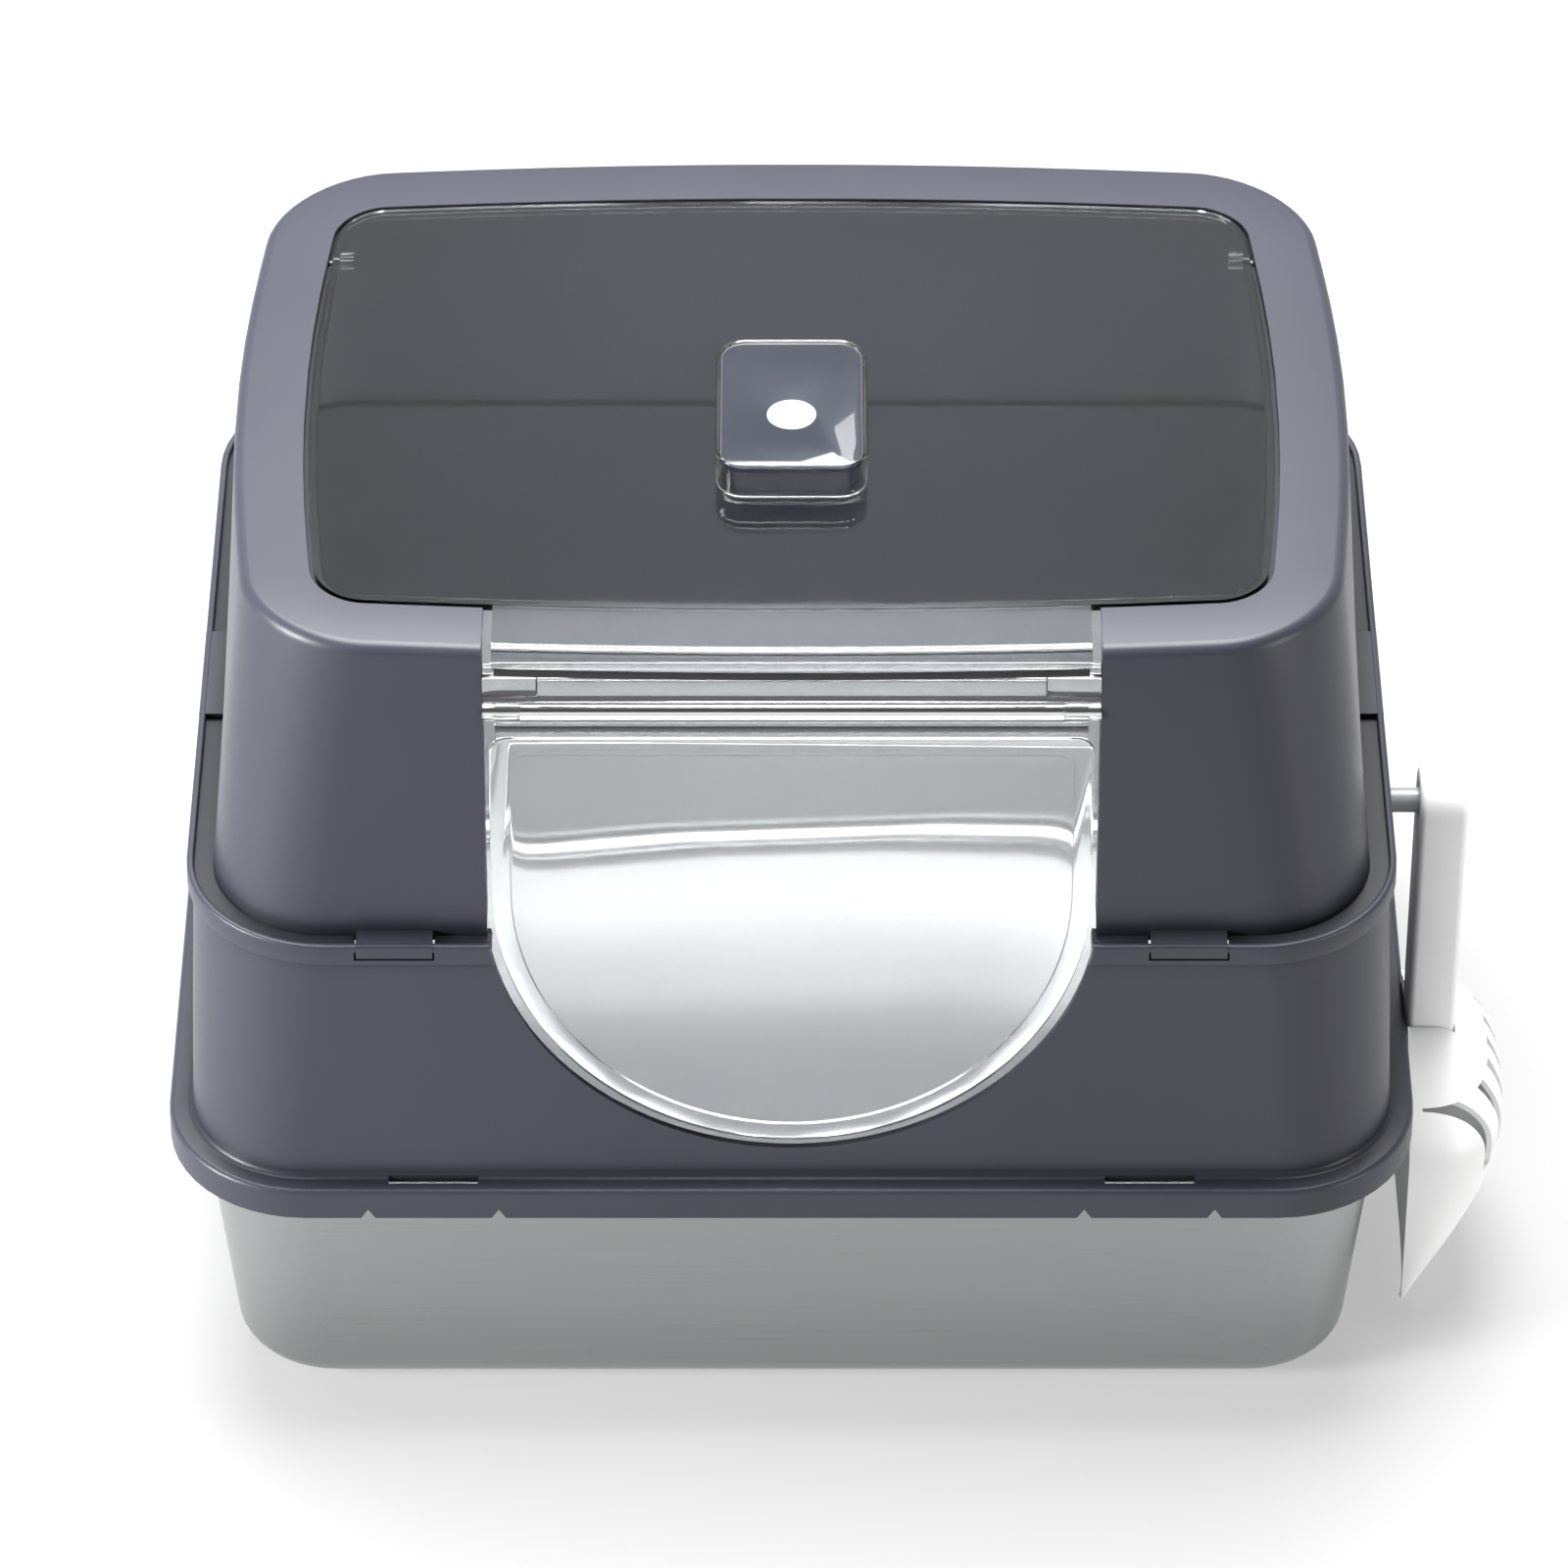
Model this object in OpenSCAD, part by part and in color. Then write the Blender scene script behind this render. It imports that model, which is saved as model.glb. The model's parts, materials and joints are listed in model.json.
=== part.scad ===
// Hooded cat litter box: a steel pan, a moulded splash guard that clips over its rim, a hood
// with a clear flip-up lid and a clear swinging door, and a scoop that hangs on a side peg.
// Millimetres. X is the width, the door faces -Y, Z is up. The origin is the middle of the
// pan's underside.

/* [Overall] */
// Width over the guard's skirt
base_w = 520; // [460:1:640]
// Depth over the guard's skirt
base_d = 410; // [360:1:520]

/* [Pan] */
// Height of the pan's rim
pan_h = 123.7; // [100:0.1:160]
// How far each pan wall leans in between rim and floor
pan_taper = 12; // [6:1:20]
// Thickness of the sheet steel
pan_t = 1.2; // [0.8:0.1:2]
// Corner radius of the pan at the rim
pan_corner_r = 54; // [40:1:70]
// Bend radius between wall and floor
pan_bend_r = 16; // [8:1:24]
// Width of the pan's flat rim at its sides
rim_side = 11; // [6:0.5:12]
// Width of the pan's flat rim at its front and rear
rim_front = 4.5; // [4:0.5:8]

/* [Splash guard] */
// Thickness of the moulded walls
wall_t = 2.6; // [2:0.1:3.5]
// Height of the skirt that covers the pan's rim
skirt_h = 14.3; // [10:0.1:22]
// Width of the ledge on top of the skirt
ledge_w = 10; // [7:0.5:14]
// Height of the guard above its ledge
guard_h = 122; // [90:1:160]
// How far the guard's walls lean in
guard_lean = 4.3; // [0:0.1:9]
// Height of the rim band round the guard's top
band_h = 10; // [6:0.5:14]
// How far the rim band stands proud of the wall
band_proud = 2.4; // [1:0.1:4]
// Clearance round the pan's rim inside the skirt
rim_gap = 0.6; // [0.3:0.1:1.5]
// Length of each snap window in the rim band
clip_w = 31; // [20:1:40]

/* [Hood] */
// Height of the hood above the gutter it stands in
hood_h = 136; // [100:0.5:170]
// Distance from the rim band's outer face in to the hood's wall
hood_inset = 10.8; // [9:0.1:14]
// Depth of the gutter that the hood stands in
gutter_drop = 2.8; // [2:0.1:4]
// How far the hood's side walls lean in
lean_side = 8.5; // [4:0.5:16]
// How far the hood's front and rear walls lean in
lean_front = 10; // [4:0.5:16]
// Corner radius of the hood's top
hood_corner_r = 46; // [36:1:60]
// Radius of the hood's top edge
edge_r = 5; // [3:0.5:7]
// How much the sides of the hood's top bow outwards
side_bow = 13; // [0:1:16]
// How much the front and rear of the hood's top bow outwards
front_bow = 10; // [0:1:14]

/* [Lid] */
// Width of the hood's frame round the window
frame_w = 28.5; // [24:0.5:36]
// Gap between the lid and the hood
lid_gap = 2; // [1.5:0.1:3]
// Thickness of the lid
lid_t = 3; // [2.5:0.1:3.5]
// Corner radius of the window
window_r = 20; // [14:1:28]
// Depth of the tongue's turned-down front edge
tongue_drop = 9.5; // [8:0.1:12]
// Radius of the lid's hinge pins
lid_pin_r = 1.8; // [1.4:0.1:2]

/* [Knob] */
// Width of the knob
knob_w = 62; // [45:1:80]
// Depth of the knob
knob_d = 88; // [60:1:100]
// Height of the knob
knob_h = 16; // [12:0.5:22]
// Distance from the lid's centre forward to the knob's centre
knob_fwd = 24; // [0:1:40]

/* [Door] */
// Width of the door
door_w = 243; // [180:1:260]
// Gap between the door and the edges round it
door_gap = 2; // [1.5:0.1:3]
// Thickness of the door
door_t = 2.4; // [2:0.1:3]
// Distance from the door's hinge down to the centre of its round end
door_drop = 87; // [70:1:100]
// Distance from the hood's top down to the door's hinge
hinge_drop = 30; // [26:1:36]
// Radius of the door's hinge rod
rod_r = 2.5; // [2:0.1:3]
// Running clearance of each hinge bore
run_gap = 0.05; // [0.02:0.01:0.1]

/* [Scoop] */
// Width of the scoop's handle
handle_w = 30; // [24:1:36]
// Thickness of the scoop's handle
handle_t = 20; // [16:0.5:24]
// Length of the scoop's handle
handle_l = 138; // [110:1:150]
// Width of the scoop's blade
blade_w = 120; // [90:1:130]
// Length of the scoop's blade
blade_l = 115; // [90:1:115]
// Depth of the scoop's blade
blade_d = 43; // [30:1:50]
// Radius of the peg that the scoop hangs on
peg_r = 5.2; // [4:0.1:6]
// Distance from the middle of the side forward to the peg
peg_fwd = 82; // [60:1:95]

/* [Hidden] */
$fn = 48;
corner_steps = 6;
slate = [0.36, 0.37, 0.44];
clear = [0.75, 0.77, 0.80, 0.4];
smoke = [0.35, 0.35, 0.37, 0.5];
// Depth by which a cut passes a face, and by which joined shapes overlap
past = 1;

// Skirt, ledge and pan rim
skirt_x = base_w / 2;
skirt_y = base_d / 2;
corner_grow = 5;
skirt_r = pan_corner_r + corner_grow;
skirt_roll = 2.2;
ledge_z = pan_h + wall_t;
skirt_z = ledge_z - skirt_h;
rim_x = skirt_x - wall_t - rim_gap;
rim_y = skirt_y - wall_t - rim_gap;
rim_r = skirt_r - wall_t - rim_gap;
bead_r = 1.6;
bend_steps = 5;

// Guard wall and rim band
foot_x = skirt_x - ledge_w;
foot_y = skirt_y - ledge_w;
foot_r = skirt_r - ledge_w;
guard_top = ledge_z + guard_h;
band_z = guard_top - band_h;
neck_x = foot_x - guard_lean;
neck_y = foot_y - guard_lean;
neck_r = skirt_r - band_proud;
band_x = neck_x + band_proud;
band_y = neck_y + band_proud;
band_r = skirt_r;
band_t = 3;
band_roll = 1.2;
gutter_z = guard_top - gutter_drop;
gutter_lip = 2;

// Snap windows, tabs and notches
front_clip_x = 161;
rear_clip_x = 74;
side_clip_w = 56;
side_clip_y = -13;
clip_gap = 0.8;
clip_deep = 7;
inner_x = band_x - band_t;
inner_y = band_y - band_t;
tab_w = 54;
tab_x = 148;
tab_notch = 3;
tab_notch_h = 4.7;
tab_slot_w = 37;
tab_slot_d = 4;
tab_slot_in = 0.6;

// Hood
hood_x = band_x - hood_inset;
hood_y = band_y - hood_inset;
hood_r = band_r - hood_inset;
top_z = gutter_z + hood_h;
top_x = hood_x - lean_side;
top_y = hood_y - lean_front;
window_x = top_x - frame_w;
window_y = top_y - frame_w;
notch_x = door_w / 2 + door_gap;
cheek_d = 14;

// Lid, its shelf and its hinge
lid_under = top_z - lid_t;
shelf_w = 5;
shelf_gap = 0.2;
shelf_z = lid_under - shelf_gap;
shelf_t = 2;
lid_x = window_x - lid_gap;
lid_y = window_y - lid_gap;
lid_edge = 0.8;
tongue_x = notch_x - 2 * lid_gap;
tongue_roll = 7;
tongue_t = 2.6;
tongue_back = 30;
tongue_z = top_z - 0.1;
axis_back = 38;
lid_axis_y = lid_y - axis_back;
axis_under = 2.9;
lid_axis_z = lid_under - axis_under;
lug_r = 3.2;
lug_neck = 2.9;
lug_w = 6;
lug_in = 4;
lug_room = 3;
boss_w = 8;
boss_in = 0.3;
boss_wall = 1;
boss_under = 0.8;
boss_lap = 0.4;
seal_t = 2.6;
seal_round = 0.4;
bumper_r = 1.5;
bumper_in = 0.9;
bumper_x = notch_x + bumper_r + bumper_in;
bumper_y = shelf_w / 2 - window_y + front_bow * pow(bumper_x / top_x, 2);

// Door hinge line
rod_z = top_z - hinge_drop;
rod_cover = 1.1;
rod_y = front_wall(notch_x, rod_z) + rod_r + rod_cover;
door_r = door_w / 2;
foot_back = 1.8;
door_foot_y = -(foot_y - wall_t - foot_back);
door_lean = atan((rod_y - door_foot_y) / (door_drop + door_r));
knuckle_t = 1.8;
knuckle_r = rod_r + knuckle_t;
knuckle_w = 10;
bush_room = 5;
bush_gap = 0.4;
fit_gap = 0.1;
knuckle_out = notch_x - bush_room;
header_gap = 0.8;
header_t = 2.6;
header_d = 11;
header_end = 22;
header_in = 1;
header_foot = 2;
seal_gap = 0.4;
header_z = rod_z + knuckle_r + header_gap;
header_top = top_z - tongue_drop - seal_t - seal_gap;
bead_drop = 6.9;
door_bead_r = 3.4;
bead_over = 2;
door_top = bead_drop + door_bead_r + bead_over;
door_corner_r = 8;
door_rim_w = 8;
door_rim_t = 1.2;
round_z = rod_z - door_drop * cos(door_lean);

// Knob
knob_y = -knob_fwd;
knob_r = 12;
knob_wall = 2;
plate_t = 2.4;
plate_gap = 0.4;
dot_r = 10;
dot_fwd = 7;
dot_t = 0.8;

// Scoop and its peg
scoop_gap = 0.6;
scoop_x = skirt_x + scoop_gap;
scoop_y = -peg_fwd;
peg_drop = 3.3;
peg_z = band_z - peg_drop;
peg_hole_gap = 0.3;
peg_head_r = 7.2;
peg_head_t = 2.4;
peg_head_gap = 0.4;
hang_gap = 0.6;
handle_end = peg_z + handle_w / 2 - handle_l;
peg_short = 2;
peg_end = scoop_x + handle_t - peg_short;
blade_t = 2.2;
tip_d = 2.8;
blade_lap = 12;
blade_top = handle_end + blade_lap;
blade_steps = 12;
bowl_open = 0.1;
bowl_fall = 0.8;
bowl_full = 0.75;
join_gap = 0.05;
heel_w = 17;
heel_u = 0.38;
heel_d = handle_t + 1;
slot_w = 5.5;
slot_pitch = 14.5;
slot_l = 34;
slot_drop = 20;
slot_z = blade_top - slot_drop - slot_l / 2;

function flip(pts, sx, sy) = [for (p = pts) [p.x * sx, p.y * sy]];
function turned(pts) = [for (i = [len(pts) - 1:-1:0]) pts[i]];
function but_last(pts) = [for (i = [0:len(pts) - 2]) pts[i]];
function all_round(q) = concat(but_last(q), but_last(turned(flip(q, -1, 1))),
                               but_last(flip(q, -1, -1)), but_last(turned(flip(q, 1, -1))));
// The +X +Y corner of a rounded rectangle of half sizes a and b
function corner(a, b, r) = [for (i = [0:corner_steps]) let (t = 90 * i / corner_steps)
    [a - r + r * cos(t), b - r + r * sin(t)]];
// One level ring of a shell with straight sides
function ring(z, a, b, r) = let (q = corner(a, b, r))
    [for (p = concat(q, turned(flip(q, -1, 1)), flip(q, -1, -1), turned(flip(q, 1, -1))))
        [p.x, p.y, z]];
// One level ring whose sides bow outwards, because their ends are drawn in by bx or by
function bowed_ring(z, a, b, r, bx, by) =
    let (q = concat([[a, 0], [a, (b - r) / 2]], corner(a, b, r), [[(a - r) / 2, b], [0, b]]))
    [for (p = all_round(q))
        [p.x * (1 - bx / a * pow(p.y / b, 2)), p.y * (1 - by / b * pow(p.x / a, 2)), z]];

// Triangles between neighbouring rings of n points each; a closed loop joins the last to the first
function skin(count, n, loop) = [for (i = [0:count - (loop ? 1 : 2)], k = [0:n - 1])
    let (j = (i + 1) % count, m = (k + 1) % n)
    each [[i * n + k, j * n + k, j * n + m], [i * n + k, j * n + m, i * n + m]]];
function cap(n, first, flipped) = [for (k = [0:n - 1]) first + (flipped ? n - 1 - k : k)];
function flat(rings) = [for (r = rings) each r];

// A hollow shell whose rings run up the outside and down the inside
module loop_shell(rings) {
    polyhedron(flat(rings), skin(len(rings), len(rings[0]), true));
}
// A solid whose first and last rings are closed with flat faces
module capped(rings) {
    n = len(rings[0]);
    polyhedron(flat(rings), concat([cap(n, 0, false)], skin(len(rings), n, false),
                                   [cap(n, (len(rings) - 1) * n, true)]));
}
// Flat rounded rectangle with true arcs at its corners
module rounded(w, d, r) {
    square([w - 2 * r, d], center = true);
    square([w, d - 2 * r], center = true);
    for (x = [-1, 1], y = [-1, 1]) translate([x * (w / 2 - r), y * (d / 2 - r)]) circle(r);
}
// A cylinder along X from x0 to x1
module bar(x0, x1, y, z, r) {
    translate([x0, y, z]) rotate([0, 90, 0]) cylinder(r = r, h = x1 - x0);
}
// A block given by its lowest and highest corners
module block(low, high) {
    translate(low) cube(high - low);
}

// Pan: a ring of its wall, set in by inset, and its skin from the floor up, set in by t
function pan_ring(z, inset) = let (lean = pan_taper * (1 - z / pan_h) + inset)
    ring(z, rim_x - rim_side - lean, rim_y - rim_front - lean, rim_r - rim_side - lean / 2);
function pan_skin(t) = let (r = pan_bend_r - t)
    concat([for (i = [0:bend_steps]) let (q = 90 * i / bend_steps)
               pan_ring(t + r * (1 - cos(q)), t + r * (1 - sin(q)))],
           [pan_ring(pan_h - pan_t + t, t)]);
function pan_bead() = [for (q = [0:45:315]) let (out = bead_r * (cos(q) - 1))
    ring(pan_h - bead_r + bead_r * sin(q), rim_x + out, rim_y + out, rim_r + out)];
module pan() {
    color([0.62, 0.63, 0.64]) difference() {
        union() {
            capped(pan_skin(0));
            capped([for (z = [pan_h - pan_t, pan_h])
                ring(z, rim_x - bead_r, rim_y - bead_r, rim_r - bead_r)]);
            loop_shell(pan_bead());
        }
        capped(concat(pan_skin(pan_t), [pan_ring(pan_h + past, pan_t)]));
    }
}

// Splash guard: skirt, ledge, leaning wall and rim band with the gutter for the hood
function guard_rings() = concat(
    [ring(skirt_z, skirt_x, skirt_y, skirt_r)],
    [for (q = [0:30:90]) let (i = skirt_roll * (1 - cos(q)))
        ring(ledge_z - skirt_roll * (1 - sin(q)), skirt_x - i, skirt_y - i, skirt_r - i)],
    [ring(ledge_z, foot_x, foot_y, foot_r),
     ring(band_z, neck_x, neck_y, neck_r),
     ring(band_z, band_x, band_y, band_r)],
    [for (q = [0:45:90]) let (i = band_roll * (1 - cos(q)))
        ring(guard_top - band_roll * (1 - sin(q)), band_x - i, band_y - i, band_r - i)],
    [ring(guard_top, inner_x, inner_y, band_r - band_t),
     ring(gutter_z, inner_x, inner_y, band_r - band_t)],
    [for (z = [gutter_z, gutter_z - wall_t]) let (i = hood_inset + wall_t + gutter_lip)
        ring(z, band_x - i, band_y - i, band_r - i)],
    [ring(gutter_z - wall_t, neck_x - wall_t, neck_y - wall_t, neck_r - wall_t),
     ring(pan_h, foot_x - wall_t, foot_y - wall_t, foot_r - wall_t),
     ring(pan_h, skirt_x - wall_t, skirt_y - wall_t, skirt_r - wall_t),
     ring(skirt_z, skirt_x - wall_t, skirt_y - wall_t, skirt_r - wall_t)]);
// The places of the hood's snap tabs in the rim band, each grown by gap
module clips(gap, deep) {
    reach = hood_inset + wall_t / 2 + gap;
    for (x = [-front_clip_x, front_clip_x])
        block([x - clip_w / 2 - gap, -(band_y + gap), guard_top - deep],
              [x + clip_w / 2 + gap, -(band_y - reach), guard_top + gap]);
    for (x = [-rear_clip_x, rear_clip_x])
        block([x - clip_w / 2 - gap, band_y - reach, guard_top - deep],
              [x + clip_w / 2 + gap, band_y + gap, guard_top + gap]);
    for (s = [-1, 1]) let (a = band_x - reach, b = band_x + gap)
        block([min(s * a, s * b), side_clip_y - side_clip_w / 2 - gap, guard_top - deep],
              [max(s * a, s * b), side_clip_y + side_clip_w / 2 + gap, guard_top + gap]);
}
module splash_guard() {
    color(slate) difference() {
        loop_shell(guard_rings());
        translate([0, hood_inset + 2 * wall_t + gutter_lip - foot_y, round_z]) rotate([90, 0, 0])
            cylinder(r = notch_x, h = band_y, $fn = 96);
        difference() {
            clips(clip_gap, clip_deep);
            block([-base_w, -base_d, 0], [base_w, base_d, gutter_z]);
        }
        difference() {
            clips(clip_gap, clip_deep);
            block([-inner_x, -inner_y, 0], [inner_x, inner_y, top_z]);
        }
        for (x = [-tab_x, tab_x], y = [-1, 1]) {
            translate([x, y * (foot_y + tab_slot_d / 2 + tab_slot_in), ledge_z])
                cube([tab_slot_w, tab_slot_d, 2 * (wall_t + past)], center = true);
            for (side = [-1, 1])
                translate([x + side * tab_w / 2, y * (skirt_y - wall_t / 2), skirt_z])
                    rotate([90, 0, 0]) linear_extrude(wall_t + 2 * past, center = true)
                        polygon([[-tab_notch, -past], [tab_notch, -past], [0, tab_notch_h]]);
        }
        bar(band_x - hood_inset, band_x + past, scoop_y, peg_z, peg_r + peg_hole_gap);
    }
}
module scoop_peg() {
    wall_in = foot_x - wall_t - guard_lean * (peg_z - ledge_z) / (band_z - ledge_z) - peg_head_gap;
    color([0.55, 0.56, 0.58]) {
        bar(wall_in, peg_end, scoop_y, peg_z, peg_r);
        bar(wall_in - peg_head_t, wall_in, scoop_y, peg_z, peg_head_r);
    }
}

// Share of the hood's height reached at z, and the outside of its front wall at x and z
function rise(z) = (z - gutter_z) / hood_h;
function front_wall(x, z) =
    -(hood_y - lean_front * rise(z) - front_bow * rise(z) * pow(x / top_x, 2));
// A ring of the hood's wall, set in by inset
function hood_ring(z, inset) = bowed_ring(z,
    hood_x - lean_side * rise(z) - inset, hood_y - lean_front * rise(z) - inset,
    hood_r + (hood_corner_r - hood_r) * rise(z) - inset, side_bow * rise(z), front_bow * rise(z));
// A ring of the window, set in by inset, with the same bows as the hood's top
function window_ring(z, inset) = let (a = window_x - inset, b = window_y - inset)
    bowed_ring(z, a, b, window_r - inset,
               side_bow * pow(b / top_y, 2), front_bow * pow(a / top_x, 2));
wall_levels = [for (i = [0:4]) gutter_z + (hood_h - edge_r) * i / 4];
function hood_rings() = concat(
    [for (z = wall_levels) hood_ring(z, 0)],
    [for (q = [30:30:90]) hood_ring(top_z - edge_r * (1 - sin(q)), edge_r * (1 - cos(q)))],
    [window_ring(top_z, 0), window_ring(shelf_z, 0), window_ring(shelf_z, shelf_w),
     window_ring(shelf_z - shelf_t, shelf_w), window_ring(shelf_z - shelf_t, -wall_t),
     window_ring(top_z - wall_t, -wall_t), hood_ring(top_z - wall_t, edge_r)],
    [for (i = [4:-1:0]) hood_ring(wall_levels[i] - (i == 4 ? wall_t - past : 0), wall_t)]);
// X of the window's edge at the lid's hinge line
hinge_edge = window_x - side_bow * pow((lid_axis_y + front_bow) / top_y, 2);
module hood_cheek(side) {
    wall_in = 0.8;
    low = gutter_z + gutter_drop + past;
    high = top_z - edge_r;
    translate([side < 0 ? -notch_x - wall_t : notch_x, 0, 0]) rotate([90, 0, 90])
        linear_extrude(wall_t)
            polygon([for (c = [[wall_in, low], [wall_in, high], [cheek_d, high], [cheek_d, low]])
                [front_wall(notch_x, c.y) + c.x, c.y]]);
}
module hood_boss(side) {
    a = hinge_edge + boss_in;
    b = hinge_edge + boss_w;
    half = lug_r + boss_wall;
    block([side < 0 ? -b : a, lid_axis_y - half, lid_axis_z - lug_r - boss_under],
          [side < 0 ? -a : b, lid_axis_y + half, top_z - wall_t + boss_lap]);
}
module hood() {
    color(slate) difference() {
        union() {
            difference() {
                loop_shell(hood_rings());
                block([-notch_x, -base_d, gutter_z - past],
                      [notch_x, 2 * shelf_w - window_y, top_z + past]);
                block([-window_x, lid_axis_y - lug_r - lug_room, shelf_z - shelf_t - past],
                      [window_x, window_y + wall_t + past, shelf_z + shelf_gap / 2]);
            }
            for (side = [-1, 1]) {
                hood_cheek(side);
                hood_boss(side);
            }
            intersection() {
                clips(0, clip_deep - clip_gap);
                union() {
                    block([-base_w, -base_d, gutter_z], [base_w, base_d, guard_top]);
                    difference() {
                        block([-base_w, -base_d, 0], [base_w, base_d, guard_top]);
                        block([-inner_x, -inner_y, 0] - [clip_gap, clip_gap, 0],
                              [inner_x, inner_y, top_z] + [clip_gap, clip_gap, 0]);
                    }
                }
            }
        }
        bar(-notch_x - 2 * wall_t, notch_x + 2 * wall_t, rod_y, rod_z, rod_r + run_gap);
        bar(-top_x + 2 * wall_t, top_x - 2 * wall_t, lid_axis_y, lid_axis_z, lid_pin_r + run_gap);
        for (side = [-1, 1]) translate([side * bumper_x, bumper_y, shelf_z - shelf_t - past])
            cylinder(r = bumper_r, h = shelf_t + 2 * past);
    }
}

// Door header: a clear strip with a shelf, its end tabs resting between the hood's cheeks
module door_header() {
    y0 = front_wall(notch_x, header_z) + header_in;
    x1 = notch_x - fit_gap;
    color(clear) {
        block([-x1, y0, header_z], [x1, y0 + header_t, header_top]);
        block([-x1, y0 + header_t, header_top - header_t], [x1, y0 + header_d, header_top]);
        for (x = [-x1, x1 - header_end])
            block([x, y0 + header_t, header_z + header_foot],
                  [x + header_end, y0 + 2 * header_t, header_top - header_t]);
    }
}
module door_hinge_rod() {
    color("silver") bar(-notch_x - wall_t, notch_x + wall_t, rod_y, rod_z, rod_r);
}
module door_bush(side) {
    x0 = knuckle_out + bush_gap;
    x1 = notch_x - fit_gap;
    color(clear) difference() {
        bar(side < 0 ? -x1 : x0, side < 0 ? -x0 : x1, rod_y, rod_z, knuckle_r);
        bar(-notch_x, notch_x, rod_y, rod_z, rod_r + run_gap);
    }
}
// Door: a plate with a straight top and a round bottom, drawn hanging straight down from the rod
module door_sheet(inset, top) {
    r = door_r - inset;
    intersection() {
        translate([0, -door_drop]) circle(r, $fn = 96);
        translate([-r, -door_drop - r]) square([2 * r, r + past]);
    }
    translate([-r, -door_drop]) square([2 * r, door_drop - top - door_corner_r]);
    translate([door_corner_r - r, -door_drop]) square([2 * (r - door_corner_r), door_drop - top]);
    for (s = [-1, 1])
        translate([s * (r - door_corner_r), -top - door_corner_r]) circle(door_corner_r);
}
module door_flap() {
    color(clear) translate([0, rod_y, rod_z]) rotate([-door_lean, 0, 0]) {
        rotate([90, 0, 0]) linear_extrude(door_t, center = true) door_sheet(0, door_top);
        translate([0, -door_t / 2, 0]) rotate([90, 0, 0]) linear_extrude(door_rim_t) difference() {
            door_sheet(0, door_top);
            door_sheet(door_rim_w, door_top + door_rim_w);
        }
        bar(-knuckle_out, knuckle_out, 0, -bead_drop, door_bead_r);
        block([-knuckle_out, -door_t / 2, -door_top - door_corner_r],
              [knuckle_out, door_t / 2, -bead_drop]);
        for (s = [-1, 1]) {
            x0 = s < 0 ? -knuckle_out : knuckle_out - knuckle_w;
            difference() {
                union() {
                    bar(x0, x0 + knuckle_w, 0, 0, knuckle_r);
                    block([x0, -door_t, -bead_drop], [x0 + knuckle_w, door_t, 0]);
                }
                bar(x0 - past, x0 + knuckle_w + past, 0, 0, rod_r + run_gap);
            }
        }
    }
}

// Tongue: a strip with a turned-down front edge, bowed like the hood's front
function roll_arc(r, cy, cz) = [for (q = [90:22.5:180]) [cy + r * cos(q), cz + r * sin(q)]];
function tongue_profile(inset, over) =
    let (cy = -top_y + tongue_roll, cz = tongue_z - tongue_roll, low = top_z - tongue_drop - over,
         back = cy + tongue_back + over)
    concat([[back, tongue_z - inset]], roll_arc(tongue_roll - inset, cy, cz),
           [[inset - top_y, low], [back, low]]);
function seal_profile() = let (y0 = -top_y, z1 = top_z - tongue_drop, z0 = z1 - seal_t)
    [[y0, z1], [y0 - seal_round, z1 - seal_t / 2], [y0, z0],
     [y0 + tongue_t, z0], [y0 + tongue_t, z1]];
// Sweeps a convex profile across the width from -x1 to x1, and past both ends by over
module bowed_strip(profile, x1, over = 0) {
    steps = 8;
    capped([for (i = [-steps:steps])
        let (x = x1 * i / steps + (abs(i) == steps ? sign(i) * over : 0))
        [for (p = profile) [x, p.x + front_bow * pow(x / top_x, 2), p.y]]]);
}
module lid() {
    color(smoke) difference() {
        union() {
            capped([window_ring(lid_under, lid_gap), window_ring(top_z - lid_edge, lid_gap),
                    window_ring(top_z, lid_gap + lid_edge)]);
            difference() {
                bowed_strip(tongue_profile(0, 0), tongue_x);
                bowed_strip(tongue_profile(tongue_t, past), tongue_x, past);
            }
            for (side = [-1, 1]) {
                x1 = hinge_edge - lug_in;
                x0 = side < 0 ? -x1 : x1 - lug_w;
                bar(x0, x0 + lug_w, lid_axis_y, lid_axis_z, lug_r);
                block([x0, lid_axis_y - lug_neck, lid_axis_z],
                      [x0 + lug_w, lid_axis_y + lug_neck, lid_under + lid_t / 2]);
            }
        }
        bar(-window_x, window_x, lid_axis_y, lid_axis_z, lid_pin_r + run_gap);
    }
}
module lid_hinge_pin(side) {
    x0 = hinge_edge - lug_in - lug_w;
    x1 = hinge_edge + boss_w - 1;
    color("silver")
        bar(side < 0 ? -x1 : x0, side < 0 ? -x0 : x1, lid_axis_y, lid_axis_z, lid_pin_r);
}
module lid_seal() {
    color([0.1, 0.1, 0.12]) bowed_strip(seal_profile(), tongue_x - 1);
}
module lid_bumper(side) {
    below = shelf_t + past;
    color([0.1, 0.1, 0.12]) translate([side * bumper_x, bumper_y, shelf_z - below])
        cylinder(r = bumper_r, h = below + shelf_gap);
}

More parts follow.
